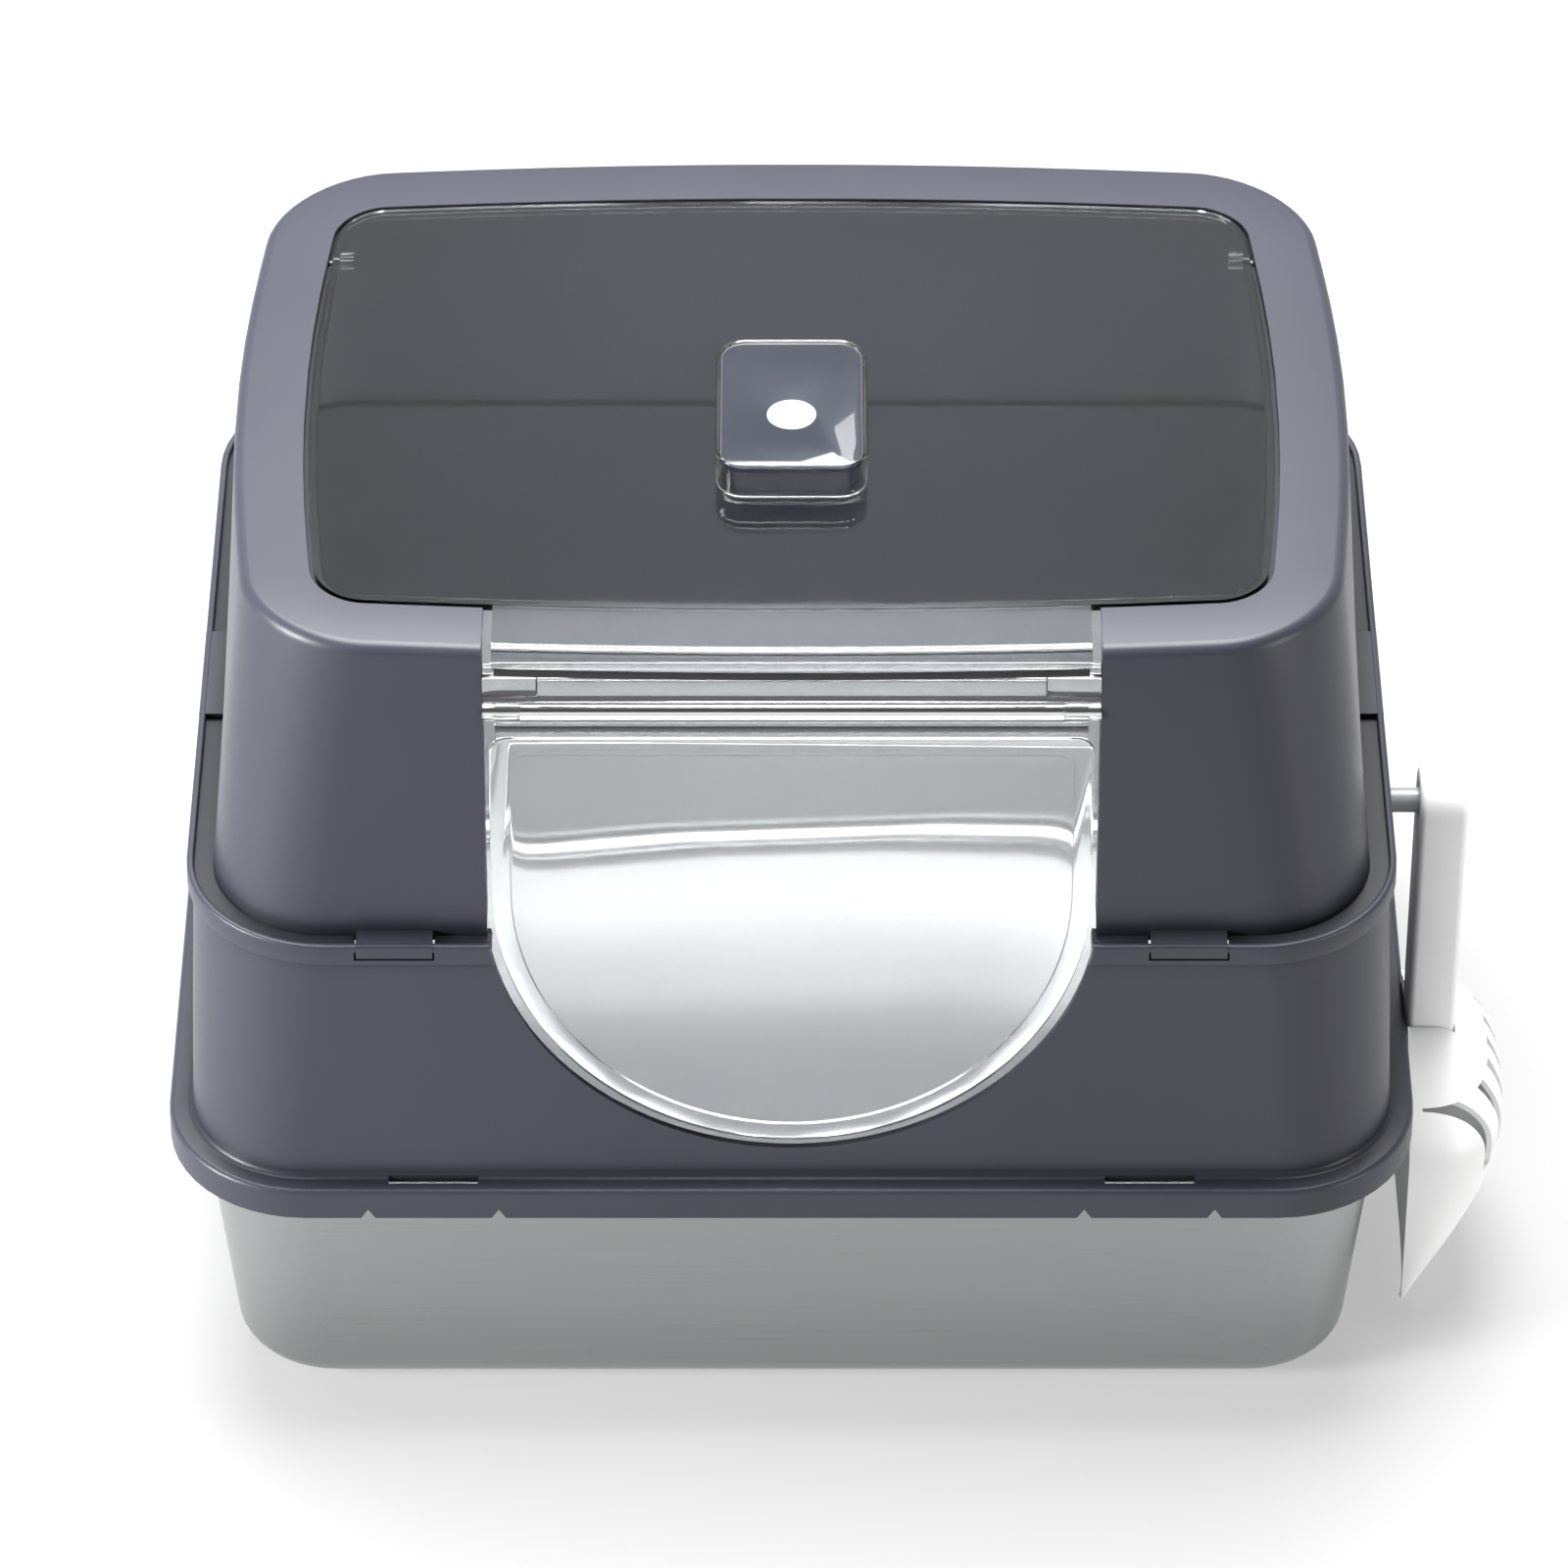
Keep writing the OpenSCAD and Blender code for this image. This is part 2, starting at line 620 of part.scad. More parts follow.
module knob_shell() {
    color(clear) translate([0, knob_y, top_z]) difference() {
        linear_extrude(knob_h) rounded(knob_w, knob_d, knob_r);
        translate([0, 0, -past]) linear_extrude(knob_h - knob_wall + past)
            rounded(knob_w - 2 * knob_wall, knob_d - 2 * knob_wall, knob_r - knob_wall);
    }
}
module knob_plate() {
    inset = 2 * (knob_wall + plate_gap);
    plate_z = top_z + knob_h - knob_wall - plate_t;
    color([0.30, 0.33, 0.42]) translate([0, knob_y, plate_z]) difference() {
        linear_extrude(plate_t) rounded(knob_w - inset, knob_d - inset, knob_r - inset / 2);
        translate([0, -dot_fwd, plate_t - dot_t]) cylinder(r = dot_r, h = dot_t + past);
    }
}
module knob_dot() {
    color("white") translate([0, knob_y - dot_fwd, top_z + knob_h - knob_wall - dot_t])
        cylinder(r = dot_r, h = dot_t);
}

module scoop_handle() {
    color([0.9, 0.9, 0.9]) difference() {
        union() {
            bar(scoop_x, scoop_x + handle_t, scoop_y, peg_z, handle_w / 2);
            block([scoop_x, scoop_y - handle_w / 2, handle_end],
                  [scoop_x + handle_t, scoop_y + handle_w / 2, peg_z]);
        }
        bar(scoop_x - past, scoop_x + handle_t + past, scoop_y, peg_z, peg_r + hang_gap);
    }
}
// Blade: half width and depth of the bowl at share u of its length from the heel to the tip
function blade_half(u) = heel_w + (blade_w / 2 - heel_w) * (u < heel_u ? sin(90 * u / heel_u) : 1);
function blade_depth(u) = u < heel_u ? heel_d + (blade_d - heel_d) * sin(90 * u / heel_u)
    : tip_d + (blade_d - tip_d) * pow(cos(90 * (u - heel_u) / (1 - heel_u)), bowl_fall);
function power(v, e) = sign(v) * pow(abs(v), e);
function blade_ring(u, grow) = let (w = blade_half(u) + grow, d = blade_depth(u) + grow)
    [for (i = [0:blade_steps]) let (q = 180 * i / blade_steps)
        [scoop_x + d * power(sin(q), bowl_full), scoop_y + w * power(cos(q), bowl_full),
         blade_top - blade_l * u]];
blade_shares = [for (i = [0:5]) heel_u * i / 5, for (i = [1:5]) heel_u + (1 - heel_u) * i / 5];
module scoop_blade() {
    color([0.9, 0.9, 0.9]) difference() {
        capped([for (u = blade_shares) blade_ring(u, 0)]);
        translate([-bowl_open, 0, 0])
            capped([for (u = blade_shares) if (u > 0) blade_ring(u, -blade_t)]);
        block([scoop_x - past, scoop_y - handle_w / 2 - join_gap, handle_end - join_gap],
              [scoop_x + handle_t + join_gap, scoop_y + handle_w / 2 + join_gap, blade_top + past]);
        for (i = [-3:3]) translate([scoop_x + handle_t / 2, scoop_y + i * slot_pitch, slot_z])
            rotate([90, 0, 90]) linear_extrude(blade_d) {
                square([slot_w, slot_l - slot_w], center = true);
                for (s = [-1, 1])
                    translate([0, s * (slot_l - slot_w) / 2]) circle(slot_w / 2, $fn = 16);
            }
    }
}

pan();
splash_guard();
scoop_peg();
hood();
door_header();
door_hinge_rod();
door_bush(-1);  // door_bush_left
door_bush(1);  // door_bush_right
lid_bumper(-1);  // lid_bumper_left
lid_bumper(1);  // lid_bumper_right
lid();
lid_hinge_pin(-1);  // lid_hinge_pin_left
lid_hinge_pin(1);  // lid_hinge_pin_right
lid_seal();
knob_shell();
knob_plate();
knob_dot();
door_flap();
scoop_handle();
scoop_blade();
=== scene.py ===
import json
import math

import bmesh
import bpy
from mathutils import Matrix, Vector

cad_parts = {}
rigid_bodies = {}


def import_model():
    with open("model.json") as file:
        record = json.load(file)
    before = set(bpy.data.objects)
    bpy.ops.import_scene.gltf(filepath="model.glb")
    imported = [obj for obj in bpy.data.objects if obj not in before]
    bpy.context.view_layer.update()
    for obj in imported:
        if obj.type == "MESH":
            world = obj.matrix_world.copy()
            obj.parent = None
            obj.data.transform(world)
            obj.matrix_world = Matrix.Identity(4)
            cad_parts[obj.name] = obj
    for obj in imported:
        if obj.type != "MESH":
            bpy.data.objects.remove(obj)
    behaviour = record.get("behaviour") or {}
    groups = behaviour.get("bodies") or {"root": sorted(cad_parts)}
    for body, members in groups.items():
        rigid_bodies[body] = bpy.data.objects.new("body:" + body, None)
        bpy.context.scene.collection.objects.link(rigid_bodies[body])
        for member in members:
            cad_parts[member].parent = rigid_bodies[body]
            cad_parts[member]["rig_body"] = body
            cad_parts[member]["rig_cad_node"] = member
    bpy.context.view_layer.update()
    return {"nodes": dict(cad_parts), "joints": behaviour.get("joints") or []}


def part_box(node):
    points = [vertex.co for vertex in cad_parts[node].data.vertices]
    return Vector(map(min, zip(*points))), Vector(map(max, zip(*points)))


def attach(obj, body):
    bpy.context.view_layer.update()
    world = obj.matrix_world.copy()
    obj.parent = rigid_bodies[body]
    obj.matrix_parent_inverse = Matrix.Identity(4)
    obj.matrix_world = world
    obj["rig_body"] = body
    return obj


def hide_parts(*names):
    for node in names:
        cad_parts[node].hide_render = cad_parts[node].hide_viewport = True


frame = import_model()

# --- Pan -----------------------------------------------------------------------------------
# A deep tray drawn from one sheet of stainless steel: flat floor, tapered walls, a flat rim
# with a rolled edge that the splash guard clips over. It is brushed lengthwise outside and has
# a smoother satin finish inside. Its colour is painted shade outside, darker than the steel,
# and painted light inside, paler and less metallic than the steel.


def first_ring(name, half_x, half_y, corner, height, keep_face):
    """Starts a drawn or moulded shell from a rounded rectangle of half sizes half_x and half_y."""
    bpy.ops.object.select_all(action="DESELECT")
    bpy.ops.mesh.primitive_plane_add(size=2)
    shell = bpy.context.object
    shell.name = name
    shell.data.name = name
    bpy.ops.object.mode_set(mode="EDIT")
    bpy.ops.transform.resize(value=(half_x, half_y, 1))
    bpy.ops.transform.translate(value=(0, 0, height))
    bpy.ops.mesh.bevel(offset=corner, segments=12, affect="VERTICES", clamp_overlap=False)
    bpy.ops.mesh.select_mode(type="EDGE")
    bpy.ops.mesh.select_all(action="SELECT")
    if keep_face:
        bpy.ops.mesh.region_to_loop()
    else:
        bpy.ops.mesh.delete(type="ONLY_FACE")
        bpy.ops.mesh.select_all(action="SELECT")
    return shell


def next_ring(half_x, half_y, corner, height):
    """Draws the open edge out into a further ring, which may have another corner radius."""
    bpy.ops.mesh.extrude_edges_move()
    mesh = bpy.context.object.data
    edit = bmesh.from_edit_mesh(mesh)
    ring = [v for v in edit.verts if v.select]
    reach_x = max(v.co.x for v in ring)
    reach_y = max(v.co.y for v in ring)
    flat_x = max(v.co.x for v in ring if v.co.y > reach_y - 1e-6)
    grow = corner / (reach_x - flat_x)
    for v in ring:
        v.co.x = math.copysign(half_x - (reach_x - abs(v.co.x)) * grow, v.co.x)
        v.co.y = math.copysign(half_y - (reach_y - abs(v.co.y)) * grow, v.co.y)
        v.co.z = height
    bmesh.update_edit_mesh(mesh)


def bend(half_x, half_y, corner, height, radius, first, last, steps=5):
    """Rings of a bend of that radius, whose centre line is the ring given."""
    for step in range(steps + 1):
        turn = math.radians(first + (last - first) * step / steps)
        out = radius * math.cos(turn)
        yield half_x + out, half_y + out, corner + out, height + radius * math.sin(turn)


def close_shell(shell):
    """Merges the rings where they meet and turns every face outwards."""
    bpy.ops.mesh.select_all(action="SELECT")
    bpy.ops.mesh.remove_doubles(threshold=1e-6)
    bpy.ops.mesh.normals_make_consistent(inside=False)
    bpy.ops.object.mode_set(mode="OBJECT")
    return shell


def smooth(piece, degrees=32):
    """Shades the piece smooth except over its sharp edges."""
    bpy.ops.object.select_all(action="DESELECT")
    piece.select_set(True)
    bpy.context.view_layer.objects.active = piece
    bpy.ops.object.shade_smooth_by_angle(angle=math.radians(degrees))


def new_material(name, colour, roughness, metallic=0.0):
    """A Principled material; returns it with its tree and shader."""
    material = bpy.data.materials.new(name)
    material.use_nodes = True
    tree = material.node_tree
    shader = tree.nodes["Principled BSDF"]
    shader.inputs["Base Color"].default_value = (*colour, 1)
    shader.inputs["Roughness"].default_value = roughness
    shader.inputs["Metallic"].default_value = metallic
    return material, tree, shader


def noise_at(tree, scale, stretch=(1, 1, 1), detail=3.0):
    """Noise in Object coordinates, stretched along the axes."""
    place = tree.nodes.new("ShaderNodeTexCoord")
    mapping = tree.nodes.new("ShaderNodeMapping")
    mapping.inputs["Scale"].default_value = stretch
    noise = tree.nodes.new("ShaderNodeTexNoise")
    noise.inputs["Scale"].default_value = scale
    noise.inputs["Detail"].default_value = detail
    tree.links.new(place.outputs["Object"], mapping.inputs["Vector"])
    tree.links.new(mapping.outputs["Vector"], noise.inputs["Vector"])
    return noise.outputs["Fac"]


def spread(tree, value, low, high):
    """Maps a noise value to a range."""
    node = tree.nodes.new("ShaderNodeMapRange")
    node.inputs["From Min"].default_value = 0.3
    node.inputs["From Max"].default_value = 0.7
    node.inputs["To Min"].default_value = low
    node.inputs["To Max"].default_value = high
    tree.links.new(value, node.inputs["Value"])
    return node.outputs["Result"]


def tint(tree, value, dark, light):
    """Mixes two colours by a noise value."""
    ramp = tree.nodes.new("ShaderNodeValToRGB")
    ramp.color_ramp.elements[0].position = 0.3
    ramp.color_ramp.elements[0].color = (*dark, 1)
    ramp.color_ramp.elements[1].position = 0.7
    ramp.color_ramp.elements[1].color = (*light, 1)
    tree.links.new(value, ramp.inputs["Fac"])
    return ramp.outputs["Color"]


def relief(tree, shader, height, depth, strength=1.0):
    """Uses a height to bump the surface by depth metres."""
    bump = tree.nodes.new("ShaderNodeBump")
    bump.inputs["Strength"].default_value = strength
    bump.inputs["Distance"].default_value = depth
    tree.links.new(height, bump.inputs["Height"])
    tree.links.new(bump.outputs["Normal"], shader.inputs["Normal"])


def dress(piece, material):
    """Gives a piece or a CAD node its one material."""
    piece.data.materials.clear()
    piece.data.materials.append(material)


def brushed_steel(name, shade, roughness, metallic):
    """Stainless steel brushed along the walls, so the lines run round the pan."""
    grey = (shade, 1.02 * shade, 1.03 * shade)
    material, tree, shader = new_material(name, grey, roughness, metallic)
    along_x = noise_at(tree, 1.0, (9, 3000, 3000))
    along_y = noise_at(tree, 1.0, (3000, 9, 3000))
    facing = tree.nodes.new("ShaderNodeSeparateXYZ")
    geometry = tree.nodes.new("ShaderNodeNewGeometry")
    size = tree.nodes.new("ShaderNodeMath")
    size.operation = "ABSOLUTE"
    lines = tree.nodes.new("ShaderNodeMix")
    tree.links.new(geometry.outputs["Normal"], facing.inputs["Vector"])
    tree.links.new(facing.outputs["X"], size.inputs[0])
    tree.links.new(size.outputs["Value"], lines.inputs["Factor"])
    tree.links.new(along_x, lines.inputs["A"])
    tree.links.new(along_y, lines.inputs["B"])
    brushed = lines.outputs["Result"]
    gloss = spread(tree, brushed, 0.9 * roughness, 1.2 * roughness)
    tree.links.new(gloss, shader.inputs["Roughness"])
    colour = tint(tree, brushed, grey, tuple(1.07 * g for g in grey))
    tree.links.new(colour, shader.inputs["Base Color"])
    relief(tree, shader, brushed, 0.00001, 0.3)
    return material


pan_h = 0.1237
wall_lean = 0.012
bend_r = 0.016
sheet_t = 0.0012


def pan_wall(height, inset):
    """The outside of the pan's wall, which leans in towards the floor."""
    lean = wall_lean * (1 - height / pan_h) + inset
    return 0.2458 - lean, 0.1973 - lean, 0.0448 - lean / 2, height


pan = first_ring("drawn_pan", *pan_wall(0, bend_r), keep_face=True)
for step in range(1, 9):
    turn = math.radians(90 * step / 8)
    next_ring(*pan_wall(bend_r * (1 - math.cos(turn)), bend_r * (1 - math.sin(turn))))
for level in (0.060, 0.110, 0.1203):
    next_ring(*pan_wall(level, 0))
for ring in bend(0.2478, 0.1993, 0.0468, 0.1213, 0.0024, 180, 90, 4):
    next_ring(*ring)
for ring in bend(0.2550, 0.2000, 0.0540, 0.1219, 0.0018, 90, -30, 6):
    next_ring(*ring)
close_shell(pan)
if min(pan.data.polygons, key=lambda f: f.center.z).normal.z > 0:
    pan.data.flip_normals()
sheet = pan.modifiers.new("sheet", "SOLIDIFY")
sheet.thickness = sheet_t
sheet.offset = -1
sheet.material_offset = 1
# Painted shade and light on one steel: the outside colour is darkened and the inside colour paled,
# to stand in for how light falls on each.
dress(pan, brushed_steel("stainless_outside_painted_shade", 0.33, 0.30, 1.0))
pan.data.materials.append(brushed_steel("stainless_inside_painted_light", 0.74, 0.20, 0.74))
bpy.ops.object.modifier_apply(modifier="sheet")
smooth(pan, 40)
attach(pan, "pan")
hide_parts("pan")

# --- Splash guard --------------------------------------------------------------------------
# A moulded ring of slate polypropylene over the pan's rim: skirt, ledge, leaning wall, and a
# rim band with the gutter that the hood stands in. The round cut at the front takes the door.


def paint_joint_shade(tree, colour, reach):
    """Darkens a colour with painted shade where another surface stands within reach, as shade falls
    in deep joints and gaps.
    """
    near = tree.nodes.new("ShaderNodeAmbientOcclusion")
    near.samples = 6
    near.inputs["Distance"].default_value = reach
    depth = tree.nodes.new("ShaderNodeMath")
    depth.operation = "POWER"
    depth.inputs[1].default_value = 2.0
    mixed = tree.nodes.new("ShaderNodeMix")
    mixed.data_type = "RGBA"
    # The near-black colour of the painted shade.
    mixed.inputs["A"].default_value = (0.001, 0.001, 0.002, 1)
    tree.links.new(near.outputs["AO"], depth.inputs[0])
    tree.links.new(depth.outputs["Value"], mixed.inputs["Factor"])
    tree.links.new(colour, mixed.inputs["B"])
    return mixed.outputs["Result"]


def slate_plastic():
    """Matt moulded polypropylene: a fine grain, a slow change of tone, and painted shade in its
    joints and gaps.
    """
    material, tree, shader = new_material("slate_polypropylene", (0.036, 0.037, 0.051), 0.38)
    grain = noise_at(tree, 1400.0, detail=2.0)
    tone = noise_at(tree, 9.0)
    colour = tint(tree, tone, (0.034, 0.035, 0.049), (0.038, 0.039, 0.054))
    # Painted shade: the slate turns near black where another surface stands within 10 mm, in
    # joints, gaps and the gutter.
    tree.links.new(paint_joint_shade(tree, colour, 0.010), shader.inputs["Base Color"])
    shader.inputs["Specular IOR Level"].default_value = 0.35
    tree.links.new(spread(tree, grain, 0.35, 0.43), shader.inputs["Roughness"])
    relief(tree, shader, grain, 0.00003, 0.35)
    return material


def cutter(add, **size):
    """A hidden tool body for one cut."""
    bpy.ops.object.select_all(action="DESELECT")
    add(**size)
    return bpy.context.object


def cut_away(piece, tool):
    """Cuts the tool's shape out of the piece."""
    cut = piece.modifiers.new("cut", "BOOLEAN")
    cut.operation = "DIFFERENCE"
    cut.object = tool
    bpy.context.view_layer.objects.active = piece
    bpy.ops.object.modifier_apply(modifier="cut")
    bpy.data.objects.remove(tool)


def box_cutter(low, high):
    """A box tool between two corners."""
    centre = [(a + b) / 2 for a, b in zip(low, high)]
    sides = [b - a for a, b in zip(low, high)]
    return cutter(bpy.ops.mesh.primitive_cube_add, size=1, location=centre, scale=sides)


def break_edges(piece, width, degrees=50, segments=2):
    """Rounds the sharp edges of a piece by width."""
    bevel = piece.modifiers.new("edges", "BEVEL")
    bevel.width = width
    bevel.segments = segments
    bevel.limit_method = "ANGLE"
    bevel.angle_limit = math.radians(degrees)
    bpy.context.view_layer.objects.active = piece
    bpy.ops.object.modifier_apply(modifier="edges")


wall = 0.0026
skirt_z = 0.1120
gutter_z = 0.2455
skirt_out = (0.2600, 0.2050, 0.0590, skirt_z)
guard = first_ring("moulded_splash_guard", *skirt_out, keep_face=False)
for ring in bend(0.2576, 0.2026, 0.0566, 0.1239, 0.0024, 0, 90):
    next_ring(*ring)
for ring in bend(0.2526, 0.1976, 0.0516, 0.1289, 0.0026, 270, 181, 4):
    next_ring(*ring)
next_ring(0.2479, 0.1929, 0.0527, 0.1850)
next_ring(0.2457, 0.1907, 0.0566, 0.2370)
for ring in bend(0.2470, 0.1920, 0.0579, 0.2394, 0.0012, 270, 360, 3):
    next_ring(*ring)
for ring in bend(0.2467, 0.1917, 0.0576, 0.2469, 0.0014, 0, 90, 4):
    next_ring(*ring)
for ring in bend(0.2459, 0.1909, 0.0568, 0.2475, 0.0008, 90, 180, 3):
    next_ring(*ring)
next_ring(0.2451, 0.1901, 0.0560, gutter_z)
next_ring(0.2327, 0.1777, 0.0436, gutter_z)
next_ring(0.2327, 0.1777, 0.0436, gutter_z - wall)
next_ring(0.2431, 0.1881, 0.0540, gutter_z - wall)
next_ring(0.2452, 0.1902, 0.0501, 0.1850)
next_ring(0.2474, 0.1924, 0.0464, pan_h)
next_ring(0.2574, 0.2024, 0.0564, pan_h)
next_ring(0.2574, 0.2024, 0.0564, skirt_z)
next_ring(*skirt_out)
close_shell(guard)

# The door's round cut, centred on the door's own round end. Then the snap windows, the tab
# slots with the notches below them in the skirt, and the hole for the scoop's peg.
notch_x = 0.1235
door_drop = 0.087
door_joint = next(j for j in frame["joints"] if j["name"] == "door_swing")
door_y, door_z = door_joint["pos_m"][1:]
door_lean = math.radians(6.01)
round_z = door_z - door_drop * math.cos(door_lean)
cut_away(guard, cutter(
    bpy.ops.mesh.primitive_cylinder_add, vertices=192, radius=notch_x, depth=0.050,
    location=(0, -0.202, round_z), rotation=(math.pi / 2, 0, 0)))
front_snap_x = 0.161
rear_snap_x = 0.074
window_half = 0.0163
window_z = 0.2413
tab_x = 0.148
tab_half = 0.027
slot_half = 0.0185
for side in (-1, 1):
    a, b = side * front_snap_x - window_half, side * front_snap_x + window_half
    cut_away(guard, box_cutter((a, -0.200, window_z), (b, -0.1895, gutter_z)))
    cut_away(guard, box_cutter((a, -0.1903, window_z), (b, -0.1820, 0.2600)))
    a, b = side * rear_snap_x - window_half, side * rear_snap_x + window_half
    cut_away(guard, box_cutter((a, 0.1895, window_z), (b, 0.200, gutter_z)))
    a, b = sorted((side * 0.2443, side * 0.2530))
    cut_away(guard, box_cutter((a, -0.0418, window_z), (b, 0.0158, gutter_z)))
    for front in (-1, 1):
        x = side * tab_x
        y = front * 0.1976
        cut_away(guard, box_cutter((x - slot_half, y - 0.0020, 0.1190),
                                   (x + slot_half, y + 0.0020, 0.1300)))
        for edge in (-tab_half, tab_half):
            notch = cutter(bpy.ops.mesh.primitive_cylinder_add, vertices=4, radius=0.0047,
                           depth=0.008, location=(x + edge, front * 0.2040, skirt_z),
                           rotation=(math.pi / 2, 0, 0))
            notch.scale = (0.64, 1, 1)
            cut_away(guard, notch)
cut_away(guard, cutter(
    bpy.ops.mesh.primitive_cylinder_add, vertices=48, radius=0.0055, depth=0.020,
    location=(0.2460, -0.082, 0.2350), rotation=(0, math.pi / 2, 0)))
smooth(guard)
slate = slate_plastic()
dress(guard, slate)
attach(guard, "guard")
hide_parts("splash_guard")

# --- Scoop peg -----------------------------------------------------------------------------
# A turned grey plastic peg pushed out through the guard's wall from inside, where its flange
# holds it. Its solid is right as it is and gets the finish of smooth moulded plastic.


def grey_plastic():
    """Smooth mid-grey plastic with a little unevenness."""
    material, tree, shader = new_material("grey_peg_plastic", (0.30, 0.31, 0.33), 0.32)
    tone = noise_at(tree, 60.0)
    colour = tint(tree, tone, (0.28, 0.29, 0.31), (0.32, 0.33, 0.35))
    tree.links.new(colour, shader.inputs["Base Color"])
    tree.links.new(spread(tree, tone, 0.26, 0.38), shader.inputs["Roughness"])
    relief(tree, shader, noise_at(tree, 900.0), 0.00002, 0.3)
    return material


dress(frame["nodes"]["scoop_peg"], grey_plastic())

# --- Hood ----------------------------------------------------------------------------------
# One slate moulding with bowed sides. Its top is a frame round the window, with a shelf below
# the lid's edge; its front is open in the middle for the door; its foot drops in the gutter.
foot_z = gutter_z
top_z = 0.3815
shelf_z = 0.3783
hood_h = top_z - foot_z
foot_half_x = 0.2373
foot_half_y = 0.1823
foot_corner = 0.0482
top_half_x = 0.2288
lean_x = 0.0085
lean_y = 0.0100
side_bow = 0.013
front_bow = 0.010


def hood_wall(height, inset):
    """A level of the hood's wall, which leans in as it rises."""
    share = (height - foot_z) / hood_h
    return (foot_half_x - lean_x * share - inset, foot_half_y - lean_y * share - inset,
            foot_corner - 0.0022 * share - inset, height)


def add_sections(xs, ys):
    """Cuts level lines across the open shell, so that its straight sides can be bowed."""
    for axis, places in ((0, xs), (1, ys)):
        for place in places:
            for sign in (-1, 1):
                at = [0.0, 0.0, 0.0]
                normal = [0.0, 0.0, 0.0]
                at[axis] = sign * place
                normal[axis] = 1.0
                bpy.ops.mesh.select_all(action="SELECT")
                bpy.ops.mesh.bisect(plane_co=at, plane_no=normal)


def bow_sides(piece):
    """Draws in the ends of each side, more with height, so that the sides bow outwards."""
    for v in piece.data.vertices:
        share = min(1.0, max(0.0, (v.co.z - foot_z) / hood_h))
        half_x, half_y = hood_wall(v.co.z, 0)[:2]
        x, y = v.co.x, v.co.y
        in_x = side_bow * share * (y / half_y) ** 2 * min(1.0, abs(x) / 0.150)
        in_y = front_bow * share * (x / half_x) ** 2 * min(1.0, abs(y) / 0.100)
        v.co.x = x - math.copysign(in_x, x)
        v.co.y = y - math.copysign(in_y, y)


section_xs = (0.020, 0.050, 0.080, 0.110, 0.140, 0.165)
section_ys = (0.020, 0.050, 0.080, 0.105, 0.123)
hood = first_ring("moulded_hood", *hood_wall(foot_z, 0), keep_face=False)
for level in (0.285, 0.325, 0.360):
    next_ring(*hood_wall(level, 0))
edge_r = 0.005
for step in range(6):
    turn = math.radians(90 * step / 5)
    drop = edge_r * (1 - math.sin(turn))
    next_ring(*hood_wall(top_z - edge_r, edge_r * (1 - math.cos(turn)))[:3], top_z - drop)
next_ring(0.20055, 0.14405, 0.02025, top_z)
next_ring(0.2003, 0.1438, 0.0200, 0.38125)
next_ring(0.2003, 0.1438, 0.0200, shelf_z)
next_ring(0.1953, 0.1388, 0.0150, shelf_z)
next_ring(0.1953, 0.1388, 0.0150, 0.3763)
next_ring(0.2029, 0.1464, 0.0226, 0.3763)
next_ring(0.2029, 0.1464, 0.0226, 0.3789)
next_ring(*hood_wall(0.3765, edge_r)[:3], 0.3789)
next_ring(*hood_wall(0.3760, wall))
for level in (0.360, 0.325, 0.285, foot_z):
    next_ring(*hood_wall(level, wall))
next_ring(*hood_wall(foot_z, 0))
add_sections(section_xs, section_ys)
close_shell(hood)
bow_sides(hood)
cut_away(hood, box_cutter((-notch_x, -0.220, 0.240), (notch_x, -0.1338, 0.390)))
hinge_low, hinge_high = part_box("lid_hinge_pin_right")
hinge_y = (hinge_low.y + hinge_high.y) / 2
hinge_z = (hinge_low.z + hinge_high.z) / 2
cut_away(hood, box_cutter((-0.199, hinge_y - 0.0062, 0.3740), (0.199, 0.1475, 0.37835)))


def front_wall(x, z):
    """The hood's front face at x and z."""
    share = (z - foot_z) / hood_h
    return -(foot_half_y - lean_y * share - front_bow * share * (x / top_half_x) ** 2)


def add_on(piece, part):
    """Joins a moulded-on part to its piece."""
    join = piece.modifiers.new("join", "BOOLEAN")
    join.operation = "UNION"
    join.object = part
    bpy.context.view_layer.objects.active = piece
    bpy.ops.object.modifier_apply(modifier="join")
    bpy.data.objects.remove(part)


def cheek(side):
    """The return wall at one side of the door opening, which follows the front's lean."""
    low, high = 0.2493, top_z - edge_r
    part = box_cutter((min(side * notch_x, side * (notch_x + wall)), -0.181, low),
                      (max(side * notch_x, side * (notch_x + wall)), -0.167, high))
    bpy.ops.object.transform_apply(location=True, rotation=True, scale=True)
    for v in part.data.vertices:
        wall_y = front_wall(notch_x, v.co.z)
        v.co.y = wall_y + (0.0008 if v.co.y < -0.174 else 0.014)
    return part


boss_x = hinge_high.x - 0.0067
boss_w = 0.008
snap_half = 0.0155
snap_low, snap_high = 0.2457, 0.2482
rod_bore = 0.00255
pin_bore = 0.00185
for side in (-1, 1):
    add_on(hood, cheek(side))
    a, b = sorted((side * boss_x, side * (boss_x + boss_w)))
    add_on(hood, box_cutter((a, hinge_y - 0.0042, hinge_z - 0.0040), (b, hinge_y + 0.0042, 0.3793)))
    a, b = side * front_snap_x - snap_half, side * front_snap_x + snap_half
    add_on(hood, box_cutter((a, -0.1930, snap_low), (b, -0.1805, snap_high)))
    add_on(hood, box_cutter((a, -0.1932, 0.2423), (b, -0.1913, 0.2480)))
    a, b = side * rear_snap_x - snap_half, side * rear_snap_x + snap_half
    add_on(hood, box_cutter((a, 0.1805, snap_low), (b, 0.1930, snap_high)))
    a, b = sorted((side * 0.2355, side * 0.2480))
    add_on(hood, box_cutter((a, -0.0410, snap_low), (b, 0.0150, snap_high)))
